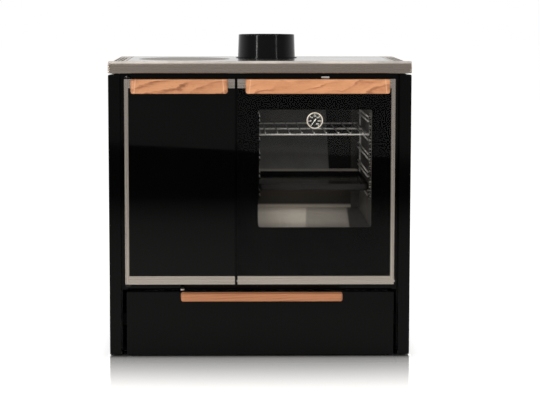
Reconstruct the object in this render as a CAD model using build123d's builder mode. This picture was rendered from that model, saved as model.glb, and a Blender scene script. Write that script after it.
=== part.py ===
from build123d import *
import os

os.makedirs("parts", exist_ok=True)

# Free-standing wood cookstove: fire door on the left, drop-down oven door on the
# right, wood drawer below, steel hob with a lift-out ring and a flue collar on top.
# Millimetres, +X to the right, front towards -Y, +Z up. The origin lies on the floor
# under the middle of the outline, handles included.

# ---------------------------------------------------------------- driving sizes
# outline
width = 900.0                # hob and side panels
hob_depth = 600.0
hob_top = 878.0              # cooking surface above the floor
hob_lip = 29.0               # height of the hob's folded edge
hob_overhang = 6.0           # hob in front of the side panels
hob_sheet = 2.0
hob_edge_r = 3.5
hob_corner_r = 4.0
hob_return = 24.0            # flange under the folded edge, on the side panels
hob_return_rear = 14.0
slot_l = 38.0                # cooling slots over the side panels
slot_w = 6.0
slot_gap = 4.0
slot_columns = 3
slot_rows = 8

# side panels
panel_t = 34.0
panel_skin = 2.0
panel_top = 845.0
panel_clear = 4.0            # side panels above the floor
panel_depth = 584.0
panel_round = 4.0            # outer top edge
panel_seat_w = 13.0          # raised inner edge that carries the hob
panel_seat_slope = 5.0
panel_return = 14.0          # inner flange behind the front frame

# door row
door_h = 615.0
door_t = 30.0
door_proud = 4.0             # door faces in front of the side panels
fire_door_w = 328.0
door_gap = 8.0               # between the two doors
side_gap = 13.5              # between a door and a side panel
strip_h = 23.0               # recessed strip between doors and drawer
trim_t = 4.5                 # steel trim and glass, front layer of each door
trim_bevel = 1.5
band_top = 27.0
band_bottom = 25.0
strip_side = 12.0
pan_skin = 2.0
liner_t = 2.0
seal_gap = 4.0               # closed door to front frame
seal_w = 10.0
seal_clear = 0.3
glass_t = 4.0

# oven door window and thermometer
window_off = -2.75           # window middle to the middle of the oven door
window_margin = 63.5         # window inside each end of the oven door
window_h = 352.0
window_bottom = 389.0
window_r = 10.0
dial_off = -5.25
dial_z = 709.5
dial_r = 24.0

# wooden handles
handle_reach = 38.0          # in front of the door face
handle_h = 41.5
grip_t = 18.0                # wood in front of the finger groove
web_h = 15.0                 # wood that meets the door
fire_handle_l = 286.0
oven_handle_l = 426.0
oven_handle_off = 2.5
drawer_handle_l = 482.0
drawer_handle_h = 22.5
drawer_handle_off = 4.0
drawer_web_h = 8.0
handle_r_low = 8.0
handle_r_top = 3.0
handle_edge = 3.0
handle_end_r = 10.0          # ends rounded in plan

# drawer
drawer_clear = 3.5           # front panel above the floor
drawer_top = 194.0
drawer_gap_left = 3.5        # drawer front inside the left and right end of the door row
drawer_gap_right = 0.5
drawer_front_t = 18.0
drawer_sheet = 1.5
drawer_box_h = 140.0
drawer_box_depth = 500.0
drawer_travel = 400.0        # pull, the slides stay engaged beyond it
slide_hold = 80.0
runner_t = 16.0
runner_h = 40.0
runner_z = 88.0

# steel carcass
shell_t = 3.0
frame_t = 4.0
weld_gap = 0.1
lip_depth = 8.0              # lip over the doors
ledge_l = 60.0               # ledge under the oven door
deck_t = 3.0
base_t = 3.0
base_z = 18.0
base_fold = 8.0
foot_r = 22.0
foot_pad_h = 8.0
foot_in = 33.0               # foot axis inside the carcass walls
stem_r = 5.0
stem_clear = 0.2
nut_r = 9.0
nut_h = 7.0

# louvres of the back panel
vent_l = 56.0
vent_h = 6.0
vent_columns = 9
vent_rows = 4
vent_low = 120.0
vent_high = 110.0

# firebox
firebox_t = 4.0
firebox_w = 292.0
firebox_depth = 466.0
firebox_top = 800.0
brick_t = 30.0
bed_z = 490.0                # top of the plate that carries grate and bricks
bed_t = 6.0
pan_l = 400.0                # ash pan
pan_h = 105.0
pan_t = 1.5
pan_clear = 2.0
skid_h = 8.0                 # room for the air under the pan
grate_w = 214.0
grate_l = 314.0
grate_t = 14.0
grate_slots = 9
guard_h = 64.0               # log guard
guard_t = 3.0
guard_foot = 16.0

# oven
oven_w = 342.0
oven_off = -3.25             # oven middle to the middle of its door
oven_floor = 383.0
oven_h = 387.0
oven_depth = 486.0
oven_t = 2.0
oven_r = 10.0
rung_r = 2.5
rung_step = 56.0
rung_gap = 14.0
rung_low = 475.0
rung_levels = 5
rung_sink = 0.8              # rung welded into its posts
rung_end = 17.0              # rung beyond the posts
post_t = 5.0
post_w = 8.0
post_clear = 0.05
rest_clear = 0.05            # shelf and tray on their rungs
rack_clear = 6.0             # shelf and tray to the oven walls
shelf_pitch = 36.5
shelf_wires = 9
shelf_wire_r = 1.75
tray_h = 21.0
tray_t = 1.2

# hob
plate_t = 8.0
plate_front = 28.0           # frame width in front of the plate
plate_side = 42.0            # frame width beside the plate
plate_rear = 12.0
plate_clear = 1.0
ledge_t = 4.0
ledge_w = 14.0
ring_in = 32.0               # ring to the left edge of the plate opening
ring_y = 94.0
ring_r = 143.0
lid_r = 74.0
lid_t = 5.0
lid_clear = 0.5
lid_seat = 6.0

# flue
flue_in = 96.0               # flue axis to the left edge of the oven door
flue_y = 204.0
pipe_r = 87.5                # stove pipe that plugs into the collar
pipe_clear = 0.5
collar_h = 75.0
collar_base_r = 92.5
collar_top_r = 90.0
collar_flange_r = 98.5
collar_flange_t = 3.0
collar_ledge = 8.0
flue_box_t = 2.5
flue_box_side = 16.0
flue_box_up = 20.0           # flue box above the oven
smoke_way = 39.5             # behind the oven, into the flue box

# controls
damper_off = 26.25           # damper rod to the middle of the oven door
damper_z = 836.5
damper_travel = 60.0
bypass_w = 100.0             # opening under the damper plate
bypass_h = 52.0
bypass_right = 18.0          # opening beyond the rod, to the right and above
damper_lap = 6.0
air_off = 6.8                # air knob to the middle of the fire door
air_z = 203.5
air_knob_r = 7.0
air_knob_l = 15.0
air_travel = 25.0
air_slots = 3
air_slot_l = 90.0
air_slot_w = 12.0
rod_r = 2.5
rod_clear = 0.4
stop_r = 4.2

# running fits
pin_clear = 0.08
pin_r = 4.0

# ---------------------------------------------------------------- derived places
half_depth = (hob_depth - hob_overhang + door_proud + handle_reach) / 2
front = -half_depth + door_proud + handle_reach      # face of the side panels
hob_front = front - hob_overhang
hob_rear = hob_front + hob_depth
hob_bottom = hob_top - hob_lip
panel_rear = front + panel_depth
panel_in = width / 2 - panel_t

door_face = front - door_proud
pan_face = door_face + trim_t
door_back = door_face + door_t
frame_face = door_back + seal_gap
frame_back = frame_face + frame_t

door_bottom = drawer_top + strip_h
door_top = door_bottom + door_h
row_half = panel_in - side_gap
fire_x0 = -row_half
fire_x1 = fire_x0 + fire_door_w
oven_x0 = fire_x1 + door_gap
oven_x1 = row_half
fire_mid = (fire_x0 + fire_x1) / 2
oven_mid = (oven_x0 + oven_x1) / 2
oven_x = oven_mid + oven_off
window_x = oven_mid + window_off
window_w = oven_x1 - oven_x0 - 2 * window_margin
dial_x = oven_mid + dial_off
damper_x = oven_mid + damper_off
flue_x = oven_x0 + flue_in
air_x = fire_mid + air_off
ledge_x = oven_x0 + 85.5
front_x = (-row_half + drawer_gap_left, row_half - drawer_gap_right)

plate_x = width / 2 - plate_side
plate_y0 = hob_front + plate_front
plate_y1 = hob_rear - plate_rear
plate_bottom = hob_top - plate_t
frame_top = plate_bottom - ledge_t
ring_x = -plate_x + ring_in + ring_r
shell_rear = panel_rear - 8.0
shell_bottom = 12.0
shell_in = panel_in - shell_t

deck_z = door_bottom - 5.0                           # underside of the deck over the drawer
deck_top = deck_z + deck_t
base_top = base_z + base_t
foot_x = shell_in - foot_in
foot_y = (frame_back + foot_in, shell_rear - shell_t - foot_in)

fire_open_x = (fire_x0 + 30.0, fire_x1 - 34.0)
fire_open_z = (bed_z + 12.0, door_top - 44.0)
ash_open_z = (deck_top + 20.0, bed_z - 50.0)
firebox_x0 = fire_open_x[0] - 14.0
firebox_x1 = firebox_x0 + firebox_w
firebox_back = frame_back + firebox_depth

oven_in_x = (oven_x - oven_w / 2, oven_x + oven_w / 2)
oven_top = oven_floor + oven_h
oven_back = frame_back + oven_depth

shutter_w = air_slot_l + 18.0
shutter_l = air_slots * 2 * air_travel + 20.0
shutter_y = (frame_back + air_travel + 3.0, frame_back + air_travel + 3.0 + shutter_l)
air_slot_y = (shutter_y[0] + shutter_y[1]) / 2 - air_travel
guide_y = (shutter_y[0] - air_travel, shutter_y[1] + 6.0)

fire_hinge_x = fire_x0 + 7.5
fire_hinge_y = door_face + 10.0
oven_hinge_y = door_face + 14.0
oven_hinge_z = door_bottom + 8.0


# ---------------------------------------------------------------- helpers
def facing(y):
    """Plane across the stove at depth y, seen from the front."""
    return Plane.XZ.offset(-y)


def level(z):
    return Plane.XY.offset(z)


def across(x):
    """Plane along the depth at x, seen from the right."""
    return Plane.YZ.offset(x)


def block(x, y, z, mode=Mode.ADD):
    """Rectangular solid between two limits on each axis."""
    middle = tuple((a + b) / 2 for a, b in (x, y, z))
    with Locations(middle):
        Box(x[1] - x[0], y[1] - y[0], z[1] - z[0], mode=mode)


def pane(x, z, radius=0.0, mode=Mode.ADD):
    """Rectangle between limits in an upright sketch, with rounded corners."""
    with Locations(((x[0] + x[1]) / 2, (z[0] + z[1]) / 2)):
        if radius:
            RectangleRounded(x[1] - x[0], z[1] - z[0], radius, mode=mode)
        else:
            Rectangle(x[1] - x[0], z[1] - z[0], mode=mode)


def turned(x, y, z=0.0):
    """Upright plane through an upright axis, for profiles that are revolved about it."""
    return Plane(origin=(x, y, z), x_dir=(1, 0, 0), z_dir=(0, -1, 0))


def faced(x, y, z):
    """Level plane through an axis along the depth: local y runs towards the front."""
    return Plane(origin=(x, y, z), x_dir=(1, 0, 0), z_dir=(0, 0, -1))


def wire(radius):
    """Section of a straight wire, with eight flats to keep the model light."""
    RegularPolygon(radius, 8)


def write(piece, name):
    piece.part.label = name
    export_step(piece.part, f"parts/{name}.step")


# ---------------------------------------------------------------- side panels
def side_panel(side):
    """Hollow panel: folded skin, open towards the carcass, bevelled along the top."""
    inner, outer = side * panel_in, side * width / 2
    with BuildPart() as panel:
        with BuildSketch(facing(panel_rear)):
            with BuildLine():
                seat = inner + side * panel_seat_w
                Polyline((outer, panel_top - panel_round), (outer, panel_clear), (inner, panel_clear),
                         (inner, hob_bottom), (seat, hob_bottom), (seat + side * panel_seat_slope, panel_top),
                         (outer - side * panel_round, panel_top))
                TangentArc((outer - side * panel_round, panel_top), (outer, panel_top - panel_round),
                           tangent=(side, 0))
            make_face()
        extrude(amount=panel_depth)
        open_face = panel.faces().sort_by(Axis.X)[0 if side > 0 else -1]
        offset(amount=-panel_skin, openings=open_face)
        # folded return along the front edge, screwed to the carcass wall
        block(sorted((inner, inner + side * panel_skin)), (front, frame_back + panel_return),
              (panel_clear, hob_bottom))
        vent = sorted((inner + side * 4, inner + side * 14))
        block(vent, (front + 120, panel_rear - 60), (panel_top - 10, panel_top + 10), Mode.SUBTRACT)
    return panel


for side, name in ((-1, "side_panel_left"), (1, "side_panel_right")):
    write(side_panel(side), name)

# ---------------------------------------------------------------- carcass
foot_spots = [(x, y) for x in (-foot_x, foot_x) for y in foot_y]
with BuildPart() as body_shell:
    with BuildSketch(level(shell_bottom)):
        pane((-panel_in, panel_in), (frame_back, shell_rear))
        pane((-panel_in + shell_t, panel_in - shell_t), (frame_back - 1, shell_rear - shell_t),
             mode=Mode.SUBTRACT)
    extrude(amount=frame_top - shell_bottom)
write(body_shell, "body_shell")


with BuildPart() as base_pan:
    with BuildSketch(level(base_z)):
        pane((-shell_in, shell_in), (frame_back, shell_rear - shell_t))
        with Locations(*foot_spots):
            Circle(stem_r + stem_clear, mode=Mode.SUBTRACT)
    extrude(amount=base_t)
    # folded front and rear edges stiffen the floor of the drawer bay
    for fold_y in (frame_back, shell_rear - shell_t - base_t):
        block((-shell_in, shell_in), (fold_y, fold_y + base_t), (base_z - base_fold, base_z))
write(base_pan, "base_pan")

with BuildPart() as levelling_feet:
    with BuildSketch(level(0)):
        with Locations(*foot_spots):
            Circle(foot_r)
    extrude(amount=foot_pad_h)
    with BuildSketch(level(foot_pad_h)):
        with Locations(*foot_spots):
            Circle(stem_r)
    extrude(amount=base_top + nut_h + 2 - foot_pad_h)
    # lock nut above the base pan, hexagon of the stem below it
    for nut_z, nut_top in ((foot_pad_h, base_z), (base_top, base_top + nut_h)):
        with BuildSketch(level(nut_z)):
            with Locations(*foot_spots):
                RegularPolygon(nut_r, 6)
        extrude(amount=nut_top - nut_z)
write(levelling_feet, "levelling_feet")

with BuildPart() as mid_deck:
    with BuildSketch(level(deck_z)):
        pane((-shell_in, shell_in), (frame_back, shell_rear - shell_t))
        with Locations((air_x, air_slot_y)):
            with GridLocations(0, 2 * air_travel, 1, air_slots):
                Rectangle(air_slot_l, air_slot_w, mode=Mode.SUBTRACT)
    extrude(amount=deck_t)
    # guides of the air shutter, under the deck
    for side in (-1, 1):
        edge = air_x + side * (shutter_w / 2 + 0.5)
        block(sorted((edge, edge + side * 2)), guide_y, (deck_z - 4.5, deck_z))
        block(sorted((edge - side * 6, edge + side * 2)), guide_y, (deck_z - 4.5, deck_z - 2.5))
write(mid_deck, "mid_deck")

rail_z = (door_top + 1.0, panel_top - 1.0)
catch_z = (door_bottom + door_top) / 2
catch_x = fire_x1 - 9.5

# flat bars welded round the openings of firebox, ash pan and oven
uprights = ((-panel_in, fire_open_x[0]), (fire_open_x[1], oven_in_x[0]), (oven_in_x[1], panel_in))
frame_z = (drawer_top + 2, frame_top)
cross_bars = ((fire_open_x, (fire_open_z[1], frame_z[1])), (fire_open_x, (ash_open_z[1], fire_open_z[0])),
              (fire_open_x, (frame_z[0], ash_open_z[0])), (oven_in_x, (oven_top, frame_z[1])),
              (oven_in_x, (frame_z[0], oven_floor)))
with BuildPart() as front_frame:
    with BuildSketch(facing(frame_back)):
        for x in uprights:
            pane(x, frame_z)
        for x, z in cross_bars:
            pane((x[0] + weld_gap, x[1] - weld_gap), z)
        pane((catch_x - 4, catch_x + 6), (catch_z - 16, catch_z + 16), mode=Mode.SUBTRACT)
        for rod_x, rod_z in ((damper_x, damper_z), (air_x, air_z)):
            with Locations((rod_x, rod_z)):
                Circle(rod_r + rod_clear, mode=Mode.SUBTRACT)
    extrude(amount=frame_t)
    # lip along the top of the door row, cleared for the damper rod
    block((fire_hinge_x + 11, row_half), (frame_face - lip_depth, frame_face - weld_gap), rail_z)
    with Locations(Location((damper_x, frame_face - lip_depth / 2, damper_z), (90, 0, 0))):
        Cylinder(rod_r + rod_clear, lip_depth + 2, mode=Mode.SUBTRACT)
    # short folded ledge in the strip under the oven door
    block((ledge_x, ledge_x + ledge_l), (frame_face - 5, frame_face - weld_gap), (door_bottom - 8, door_bottom - 5))
write(front_frame, "front_frame")

with BuildPart() as back_panel:
    with BuildSketch(facing(panel_rear)):
        pane((-panel_in + 1, panel_in - 1), (shell_bottom, panel_top - 4))
    extrude(amount=panel_rear - shell_rear)
    offset(amount=-1.5, openings=back_panel.faces().sort_by(Axis.Y)[0])
    for vent_z in (vent_low, panel_top - vent_high):
        with BuildSketch(facing(panel_rear)):
            with Locations((0, vent_z)):
                with GridLocations(vent_l + 18, vent_h + 8, vent_columns, vent_rows):
                    Rectangle(vent_l, vent_h)
        extrude(amount=panel_rear - shell_rear, mode=Mode.SUBTRACT)
write(back_panel, "back_panel")

# ---------------------------------------------------------------- firebox
with BuildPart() as firebox_shell:
    with BuildSketch(level(deck_top)):
        pane((firebox_x0, firebox_x1), (frame_back, firebox_back))
        pane((firebox_x0 + firebox_t, firebox_x1 - firebox_t),
             (frame_back - 1, firebox_back - firebox_t), mode=Mode.SUBTRACT)
    extrude(amount=firebox_top - deck_top)
write(firebox_shell, "firebox_shell")

fire_in_x = (firebox_x0 + firebox_t, firebox_x1 - firebox_t)
fire_in_mid = (fire_in_x[0] + fire_in_x[1]) / 2
fire_in_back = firebox_back - firebox_t
grate_y = (frame_back + fire_in_back - brick_t) / 2

with BuildPart() as fire_bed:
    with BuildSketch(level(bed_z - bed_t)):
        pane(fire_in_x, (frame_back, fire_in_back))
        with Locations((fire_in_mid, grate_y)):
            Rectangle(grate_w - 16, grate_l - 16, mode=Mode.SUBTRACT)
    extrude(amount=bed_t)
write(fire_bed, "fire_bed")

with BuildPart() as fire_grate:
    with BuildSketch(level(bed_z)):
        with Locations((fire_in_mid, grate_y)):
            Rectangle(grate_w, grate_l)
            with GridLocations(0, (grate_l - 30) / grate_slots, 1, grate_slots):
                Rectangle(grate_w - 30, 12, mode=Mode.SUBTRACT)
    extrude(amount=grate_t)
    chamfer(fire_grate.faces().sort_by(Axis.Z)[-1].outer_wire().edges(), 2)
write(fire_grate, "fire_grate")

# refractory lining: two bricks a side and two across the back, stood on the bed plate
brick_z = (bed_z, firebox_top)
side_run = (frame_back + 0.5, fire_in_back - brick_t - 0.5)
with BuildPart() as firebricks:
    middle_y = (side_run[0] + side_run[1]) / 2
    for wall_x in ((fire_in_x[0], fire_in_x[0] + brick_t), (fire_in_x[1] - brick_t, fire_in_x[1])):
        for run in ((side_run[0], middle_y - 0.3), (middle_y + 0.3, side_run[1])):
            block(wall_x, run, brick_z)
    for half in ((fire_in_x[0], fire_in_mid - 0.3), (fire_in_mid + 0.3, fire_in_x[1])):
        block(half, (fire_in_back - brick_t, fire_in_back), brick_z)
    chamfer(firebricks.faces().group_by(Axis.Z)[-1].edges(), 2)
write(firebricks, "firebricks")

guard_y = frame_back + 2
with BuildPart() as log_guard:
    with BuildSketch(across(fire_in_x[0] + brick_t + 0.5)):
        with BuildLine():
            Polyline((guard_y, bed_z), (guard_y + guard_foot, bed_z), (guard_y + guard_foot, bed_z + guard_t),
                     (guard_y + guard_t, bed_z + guard_t), (guard_y + guard_t, bed_z + guard_h - 12),
                     (guard_y + guard_t + 9, bed_z + guard_h - 2), (guard_y + guard_t + 7, bed_z + guard_h),
                     (guard_y, bed_z + guard_h - 11), close=True)
        make_face()
    extrude(amount=fire_in_x[1] - fire_in_x[0] - 2 * brick_t - 1)
write(log_guard, "log_guard")

pan_x = (fire_open_x[0] + 2 * pan_clear, fire_open_x[1] - 2 * pan_clear)
pan_y = (frame_back + pan_clear, frame_back + pan_clear + pan_l)
pan_low = deck_top + skid_h
with BuildPart() as ash_pan:
    block(pan_x, pan_y, (pan_low, pan_low + pan_h))
    fillet(ash_pan.edges().filter_by(Axis.Z), 6)
    offset(amount=-pan_t, openings=ash_pan.faces().sort_by(Axis.Z)[-1])
    for skid_x in (pan_x[0] + 20, pan_x[1] - 26):
        block((skid_x, skid_x + 6), (pan_y[0] + 10, pan_y[1] - 10), (deck_top, pan_low))
    # carrying lip folded out along the front edge
    with Locations(((pan_x[0] + pan_x[1]) / 2, pan_y[0] + 8, pan_low + pan_h - pan_t / 2)):
        Box(90, 14, pan_t)
write(ash_pan, "ash_pan")

# ---------------------------------------------------------------- oven
with BuildPart() as oven_box:
    with BuildSketch(facing(oven_back + oven_t)):
        pane((oven_in_x[0] - oven_t, oven_in_x[1] + oven_t), (oven_floor - oven_t, oven_top + oven_t),
             oven_r + oven_t)
    extrude(amount=oven_depth + oven_t)
    with BuildSketch(facing(oven_back)):
        pane(oven_in_x, (oven_floor, oven_top), oven_r)
    extrude(amount=oven_depth, mode=Mode.SUBTRACT)
    # flange that seats on the back of the front frame
    with BuildSketch(facing(frame_back + oven_t)):
        pane((oven_in_x[0] - 14, oven_in_x[1] + 14), (oven_floor - 14, oven_top + 14), oven_r + 8)
        pane(oven_in_x, (oven_floor, oven_top), oven_r, mode=Mode.SUBTRACT)
    extrude(amount=oven_t)
write(oven_box, "oven_box")

post_y = (frame_back + 28, oven_back - 60)
rung_z = [rung_low + rung_step * n + step for n in range(rung_levels) for step in (0, rung_gap)]
with BuildPart() as oven_ladders:
    for side in (-1, 1):
        wall = oven_x + side * oven_w / 2
        for y in post_y:
            block(sorted((wall - side * post_clear, wall - side * (post_clear + post_t))),
                  (y - post_w / 2, y + post_w / 2), (rung_z[0] - 12, rung_z[-1] + 12))
        rung_x = wall - side * (post_clear + post_t + rung_r - rung_sink)
        with BuildSketch(facing(post_y[1] + rung_end)):
            with Locations(*((rung_x, z) for z in rung_z)):
                wire(rung_r)
        extrude(amount=post_y[1] - post_y[0] + 2 * rung_end)
write(oven_ladders, "oven_ladders")

rack_half = oven_w / 2 - rack_clear
shelf_z = rung_low + 3 * rung_step + rung_gap + 2 * rung_r + rest_clear
shelf_y = (frame_back + 26, oven_back - 11)
with BuildPart() as wire_shelf:
    # three cross bars, two side bars, and thinner wires on top from front to back
    with BuildSketch(across(oven_x - rack_half)):
        with Locations(*((y, shelf_z) for y in (shelf_y[0], sum(shelf_y) / 2, shelf_y[1]))):
            wire(rung_r)
    extrude(amount=2 * rack_half)
    with BuildSketch(facing(shelf_y[1] + rung_r)):
        with Locations(*((oven_x + side * (rack_half - rung_r), shelf_z) for side in (-1, 1))):
            wire(rung_r)
        with Locations((oven_x, shelf_z + rung_r)):
            with GridLocations(shelf_pitch, 0, shelf_wires, 1):
                wire(shelf_wire_r)
    extrude(amount=shelf_y[1] - shelf_y[0] + 2 * rung_r)
write(wire_shelf, "wire_shelf")

tray_z = rung_low + rung_gap + rung_r + rest_clear
with BuildPart() as baking_tray:
    block((oven_x - rack_half, oven_x + rack_half), (frame_back + 26, oven_back - 12), (tray_z, tray_z + tray_h))
    fillet(baking_tray.edges().filter_by(Axis.Z), 14)
    chamfer(baking_tray.faces().sort_by(Axis.Z)[0].edges(), 5)
    offset(amount=-tray_t, openings=baking_tray.faces().sort_by(Axis.Z)[-1])
write(baking_tray, "baking_tray")

# ---------------------------------------------------------------- hob
with BuildPart() as hob_frame:
    block((-width / 2, width / 2), (hob_front, hob_rear), (hob_bottom, hob_top))
    fillet(hob_frame.edges().filter_by(Axis.Z), hob_corner_r)
    fillet(hob_frame.faces().sort_by(Axis.Z)[-1].edges(), hob_edge_r)
    chamfer(hob_frame.faces().sort_by(Axis.Z)[0].edges(), hob_edge_r / 2)
    block((-width / 2 + hob_sheet, width / 2 - hob_sheet), (hob_front + hob_sheet, hob_rear - hob_sheet),
          (hob_bottom + hob_sheet, hob_top - hob_sheet), Mode.SUBTRACT)
    # opening inside the return flange along the lower edge
    block((-width / 2 + hob_return, width / 2 - hob_return), (hob_front + hob_return, hob_rear - hob_return_rear),
          (hob_bottom - 1, hob_bottom + hob_sheet + 1), Mode.SUBTRACT)
    # hole for the cooking plate, with a turned-down wall and a ledge under the plate
    block((-plate_x - hob_sheet, plate_x + hob_sheet), (plate_y0 - hob_sheet, plate_y1 + hob_sheet),
          (frame_top, hob_top - hob_sheet))
    block((-plate_x, plate_x), (plate_y0, plate_y1), (plate_bottom, hob_top + 1), Mode.SUBTRACT)
    block((-plate_x + ledge_w, plate_x - ledge_w), (plate_y0 + ledge_w, plate_y1 - ledge_w),
          (frame_top - 1, plate_bottom + 1), Mode.SUBTRACT)
    # cooling slots over the hollow side panels
    with BuildSketch(level(hob_top)):
        for side in (-1, 1):
            with Locations((side * (width / 2 - panel_t / 2 - 2), (plate_y0 + plate_y1) / 2)):
                with GridLocations(slot_w + slot_gap, slot_l + 2 * slot_gap, slot_columns, slot_rows):
                    Rectangle(slot_w, slot_l)
    extrude(amount=-hob_sheet - 1, mode=Mode.SUBTRACT)
write(hob_frame, "hob_frame")

with BuildPart() as hob_plate:
    with BuildSketch(level(plate_bottom)):
        pane((-plate_x + plate_clear, plate_x - plate_clear), (plate_y0 + plate_clear, plate_y1 - plate_clear), 3)
        with Locations((ring_x, ring_y)):
            Circle(ring_r - lid_seat, mode=Mode.SUBTRACT)
        with Locations((flue_x, flue_y)):
            Circle(pipe_r - collar_ledge, mode=Mode.SUBTRACT)
    extrude(amount=plate_t)
    with Locations((ring_x, ring_y, hob_top - lid_t / 2)):
        Cylinder(ring_r + lid_clear, lid_t, mode=Mode.SUBTRACT)
    chamfer(hob_plate.faces().sort_by(Axis.Z)[-1].outer_wire().edges(), 0.8)
write(hob_plate, "hob_plate")

seat_t = lid_t / 2
with BuildPart() as hob_ring:
    with BuildSketch(level(hob_top - lid_t)):
        with Locations((ring_x, ring_y)):
            Circle(ring_r)
            Circle(lid_r - lid_seat, mode=Mode.SUBTRACT)
    extrude(amount=lid_t)
    with Locations((ring_x, ring_y, hob_top - lid_t / 2 + seat_t / 2)):
        Cylinder(lid_r + lid_clear, lid_t - seat_t, mode=Mode.SUBTRACT)
write(hob_ring, "hob_ring")

with BuildPart() as hob_lid:
    with BuildSketch(level(hob_top - lid_t + seat_t)):
        with Locations((ring_x, ring_y)):
            Circle(lid_r)
    extrude(amount=lid_t - seat_t)
    # the lower step centres the lid, the pocket takes the lifting hook
    with BuildSketch(level(hob_top - lid_t + 0.3)):
        with Locations((ring_x, ring_y)):
            Circle(lid_r - lid_seat - 1)
    extrude(amount=seat_t)
    with BuildSketch(level(hob_top)):
        with Locations((ring_x + lid_r * 0.62, ring_y)):
            SlotOverall(18, 9)
    extrude(amount=-3, mode=Mode.SUBTRACT)
write(hob_lid, "hob_lid")

# ---------------------------------------------------------------- flue
bore_r = pipe_r + pipe_clear
with BuildPart() as flue_collar:
    with BuildSketch(turned(flue_x, flue_y)):
        with BuildLine():
            Polyline((pipe_r - collar_ledge, hob_top), (collar_flange_r, hob_top),
                     (collar_flange_r, hob_top + collar_flange_t),
                     (collar_base_r, hob_top + collar_flange_t),
                     (collar_top_r, hob_top + collar_h), (bore_r, hob_top + collar_h),
                     (bore_r, hob_top + 6), (pipe_r - collar_ledge, hob_top + 6), close=True)
        make_face()
    revolve(axis=Axis((flue_x, flue_y, 0), (0, 0, 1)))
write(flue_collar, "flue_collar")

box_x = (flue_x - bore_r - flue_box_side, damper_x + 2 * flue_box_side)
box_y = (flue_y - bore_r - 4, plate_y1 - ledge_w - 0.5)
box_z = (oven_top + flue_box_up, plate_bottom)
bypass_x = (damper_x + bypass_right - bypass_w, damper_x + bypass_right)
bypass_z = (damper_z + bypass_right - bypass_h, damper_z + bypass_right)
with BuildPart() as flue_box:
    block(box_x, box_y, box_z)
    open_sides = [flue_box.faces().sort_by(Axis.Z)[-1], flue_box.faces().sort_by(Axis.Z)[0]]
    offset(amount=-flue_box_t, openings=open_sides)
    block(bypass_x, (box_y[0] - 1, box_y[0] + 4), bypass_z, Mode.SUBTRACT)
    # floor in front of the rear smoke way
    block(box_x, (box_y[0], box_y[1] - smoke_way), (box_z[0], box_z[0] + flue_box_t))
write(flue_box, "flue_box")

with BuildPart() as damper_slide:
    with BuildSketch(facing(box_y[0] - 0.3)):
        pane((bypass_x[0] - damper_lap, bypass_x[1] + damper_lap),
             (bypass_z[0] - damper_lap, bypass_z[1] + damper_lap), 5)
    extrude(amount=3)
    rod_front = frame_face - 16
    with Locations(Location((damper_x, (rod_front + box_y[0] - 1) / 2, damper_z), (90, 0, 0))):
        Cylinder(rod_r, box_y[0] - 1 - rod_front)
    # stop collar, meets the front frame when the damper is fully out
    with Locations(Location((damper_x, frame_back + damper_travel + 2.5, damper_z), (90, 0, 0))):
        Cylinder(stop_r, 3)
write(damper_slide, "damper_slide")

with BuildPart() as damper_knob:
    block((damper_x - 12.5, damper_x + 12.5), (rod_front - 12, rod_front), (door_top + 1.5, door_top + 8.5))
    chamfer(damper_knob.edges().filter_by(Axis.Y), 1.5)
    chamfer(damper_knob.faces().sort_by(Axis.Y)[0].edges(), 0.8)
write(damper_knob, "damper_knob")

# ---------------------------------------------------------------- primary air
shutter_top = deck_z - 0.4
with BuildPart() as air_slide:
    with BuildSketch(level(shutter_top)):
        pane((air_x - shutter_w / 2, air_x + shutter_w / 2), shutter_y)
        # closed when pushed in, each slot comes under a slot of the deck when pulled out
        with Locations((air_x, air_slot_y + air_travel)):
            with GridLocations(0, 2 * air_travel, 1, air_slots):
                Rectangle(air_slot_l, air_slot_w, mode=Mode.SUBTRACT)
    extrude(amount=-1.5)
    block((air_x - 12, air_x + 12), (shutter_y[0], shutter_y[0] + 2), (air_z - 5, shutter_top))
    air_front = frame_face - 14
    with Locations(Location((air_x, (air_front + shutter_y[0]) / 2, air_z), (90, 0, 0))):
        Cylinder(rod_r, shutter_y[0] - air_front)
write(air_slide, "air_slide")

with BuildPart() as air_knob:
    with BuildSketch(faced(air_x, air_front, air_z)):
        with BuildLine():
            Polyline((0, 0), (0.6 * air_knob_r, 0), (air_knob_r, 7), (air_knob_r, air_knob_l - 1),
                     (air_knob_r - 1, air_knob_l), (0, air_knob_l), close=True)
        make_face()
    revolve(axis=Axis((air_x, 0, air_z), (0, 1, 0)))
write(air_knob, "air_knob")


# ---------------------------------------------------------------- doors
def door_pan(x, window=None):
    """Box-folded door body, open at the back, with the window cut out of its face."""
    with BuildPart() as pan:
        with BuildSketch(facing(door_back)):
            pane(x, (door_bottom, door_top))
        extrude(amount=door_back - pan_face)
        offset(amount=-pan_skin, openings=pan.faces().sort_by(Axis.Y)[-1])
        if window:
            with BuildSketch(facing(pan_face + pan_skin)):
                pane(*window)
            extrude(amount=pan_skin, mode=Mode.SUBTRACT)
    return pan


def trim_frame(x, open_side):
    """Steel trim: a band above and below the glass and a strip down the outer side."""
    glass_x, glass_z = glass_area(x, open_side)
    with BuildPart() as trim:
        with BuildSketch(facing(pan_face)):
            pane(x, (door_bottom, door_top))
            pane(glass_x, glass_z, mode=Mode.SUBTRACT)
        extrude(amount=trim_t)
        uprights = trim.faces().sort_by(Axis.Y)[0].edges().filter_by(Axis.Z).sort_by(Axis.X)
        chamfer(uprights[0 if open_side > 0 else -1], trim_bevel)
    return trim


def glass_area(x, open_side):
    """Limits of the glass: full height between the bands, out to the open side."""
    gx = (x[0] + strip_side, x[1]) if open_side > 0 else (x[0], x[1] - strip_side)
    return gx, (door_bottom + band_bottom, door_top - band_top)


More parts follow.
